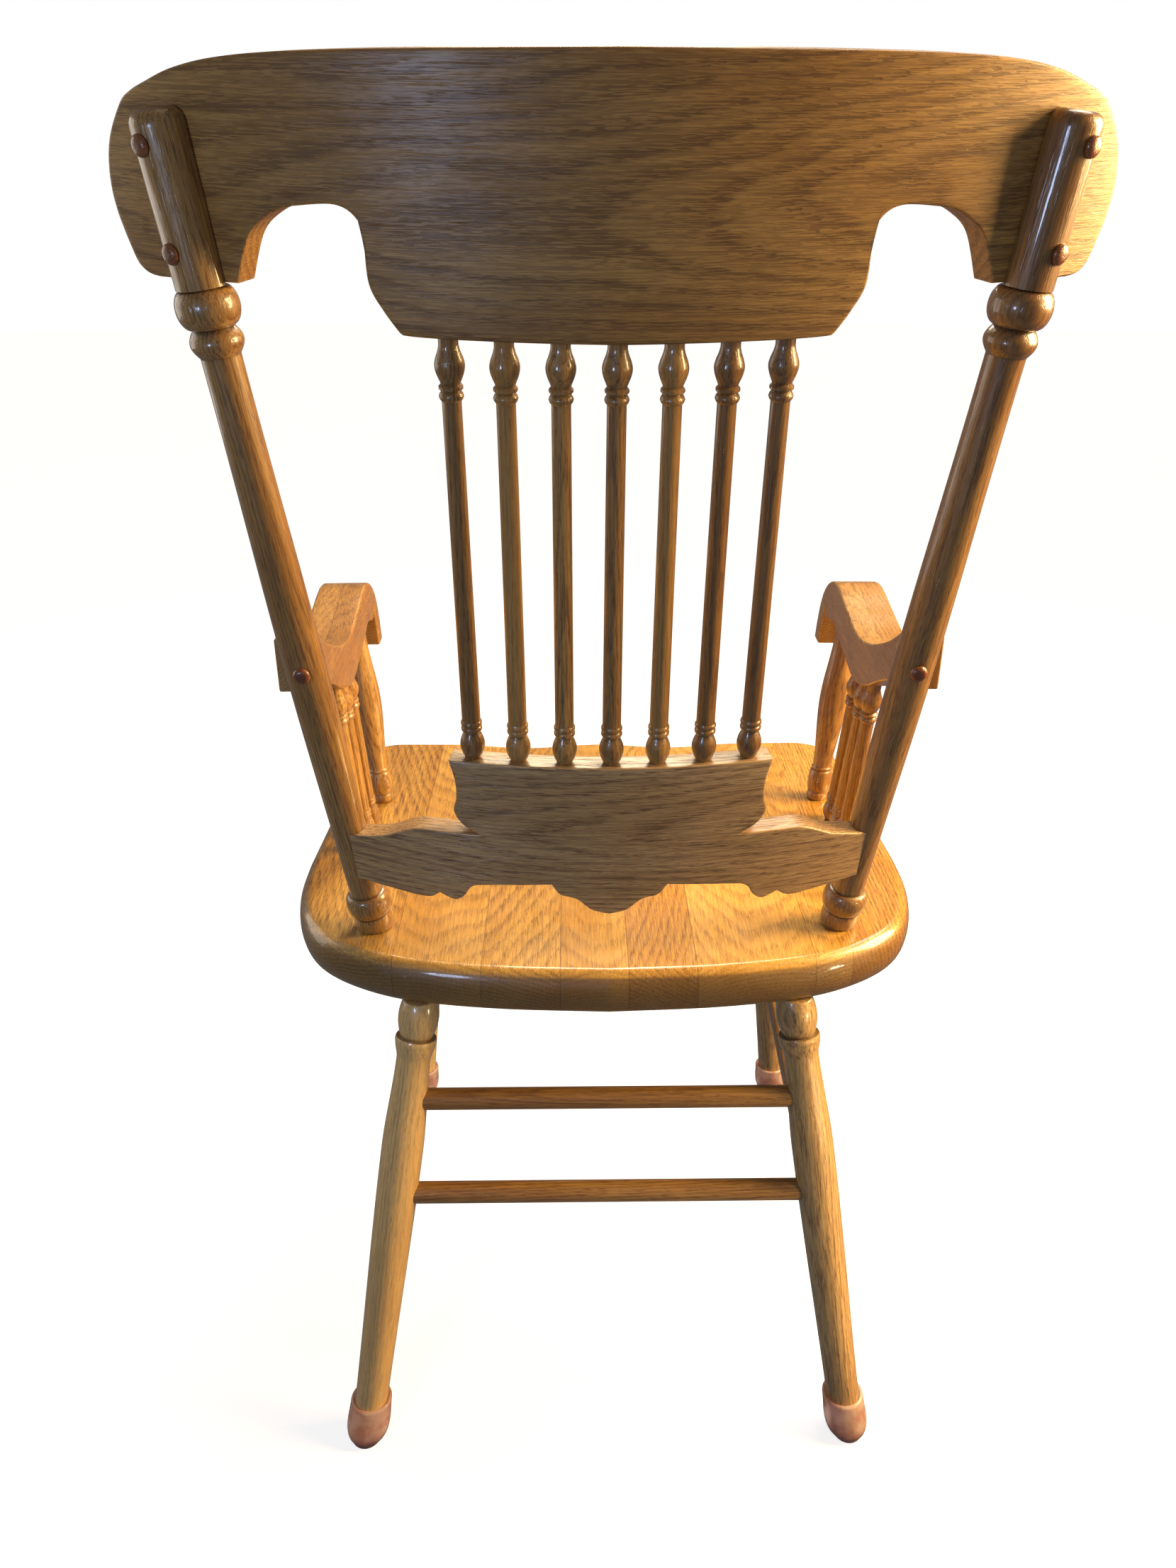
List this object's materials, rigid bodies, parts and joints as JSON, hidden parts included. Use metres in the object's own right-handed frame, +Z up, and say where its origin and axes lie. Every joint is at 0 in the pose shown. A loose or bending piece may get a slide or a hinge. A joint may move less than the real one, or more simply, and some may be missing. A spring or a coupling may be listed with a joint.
{
  "type": "captain's chair",
  "caption": "Oak armchair with a bent, lobed crest rail, turned back spindles, scrolled lower rail, rolled sawn arms, plank seat and raked turned legs on capped feet.",
  "frame": {"origin": "on the floor, under the middle of the whole chair's box", "axes": "+Z up, +X across the chair (its plane of symmetry is X = 0), +Y towards the back; the sitter faces -Y"},
  "size_m": [0.6232, 0.56, 1.088],
  "materials": {
    "golden_oak": "golden oak under glossy varnish",
    "plug_oak": "turned plugs, darker and redder, glossy",
    "silicone": "clear silicone over the oak foot, half gloss",
    "felt": "pressed felt",
    "screw_steel": "zinc-plated wood screws, hidden"
  },
  "bodies": {
    "root": {"arm_left": "golden_oak", "arm_post_left": "golden_oak", "arm_post_right": "golden_oak", "arm_right": "golden_oak", "arm_spindle_left_1": "golden_oak", "arm_spindle_left_2": "golden_oak", "arm_spindle_left_3": "golden_oak", "arm_spindle_right_1": "golden_oak", "arm_spindle_right_2": "golden_oak", "arm_spindle_right_3": "golden_oak", "back_post_left": "golden_oak", "back_post_right": "golden_oak", "back_spindle_1": "golden_oak", "back_spindle_2": "golden_oak", "back_spindle_3": "golden_oak", "back_spindle_4": "golden_oak", "back_spindle_5": "golden_oak", "back_spindle_6": "golden_oak", "back_spindle_7": "golden_oak", "crest_rail": "golden_oak", "felt_pad_front_left": "felt", "felt_pad_front_right": "felt", "felt_pad_rear_left": "felt", "felt_pad_rear_right": "felt", "front_leg_left": "golden_oak", "front_leg_right": "golden_oak", "front_stretcher_lower": "golden_oak", "front_stretcher_upper": "golden_oak", "left_stretcher_lower": "golden_oak", "left_stretcher_upper": "golden_oak", "leg_cap_front_left": "silicone", "leg_cap_front_right": "silicone", "leg_cap_rear_left": "silicone", "leg_cap_rear_right": "silicone", "lower_back_rail": "golden_oak", "plug_left_arm": "plug_oak", "plug_left_lower": "plug_oak", "plug_left_upper": "plug_oak", "plug_right_arm": "plug_oak", "plug_right_lower": "plug_oak", "plug_right_upper": "plug_oak", "rear_leg_left": "golden_oak", "rear_leg_right": "golden_oak", "rear_stretcher_lower": "golden_oak", "rear_stretcher_upper": "golden_oak", "right_stretcher_lower": "golden_oak", "right_stretcher_upper": "golden_oak", "screw_left_arm": "screw_steel", "screw_left_lower": "screw_steel", "screw_left_upper": "screw_steel", "screw_right_arm": "screw_steel", "screw_right_lower": "screw_steel", "screw_right_upper": "screw_steel", "seat": "golden_oak"}
  },
  "joints": []
}
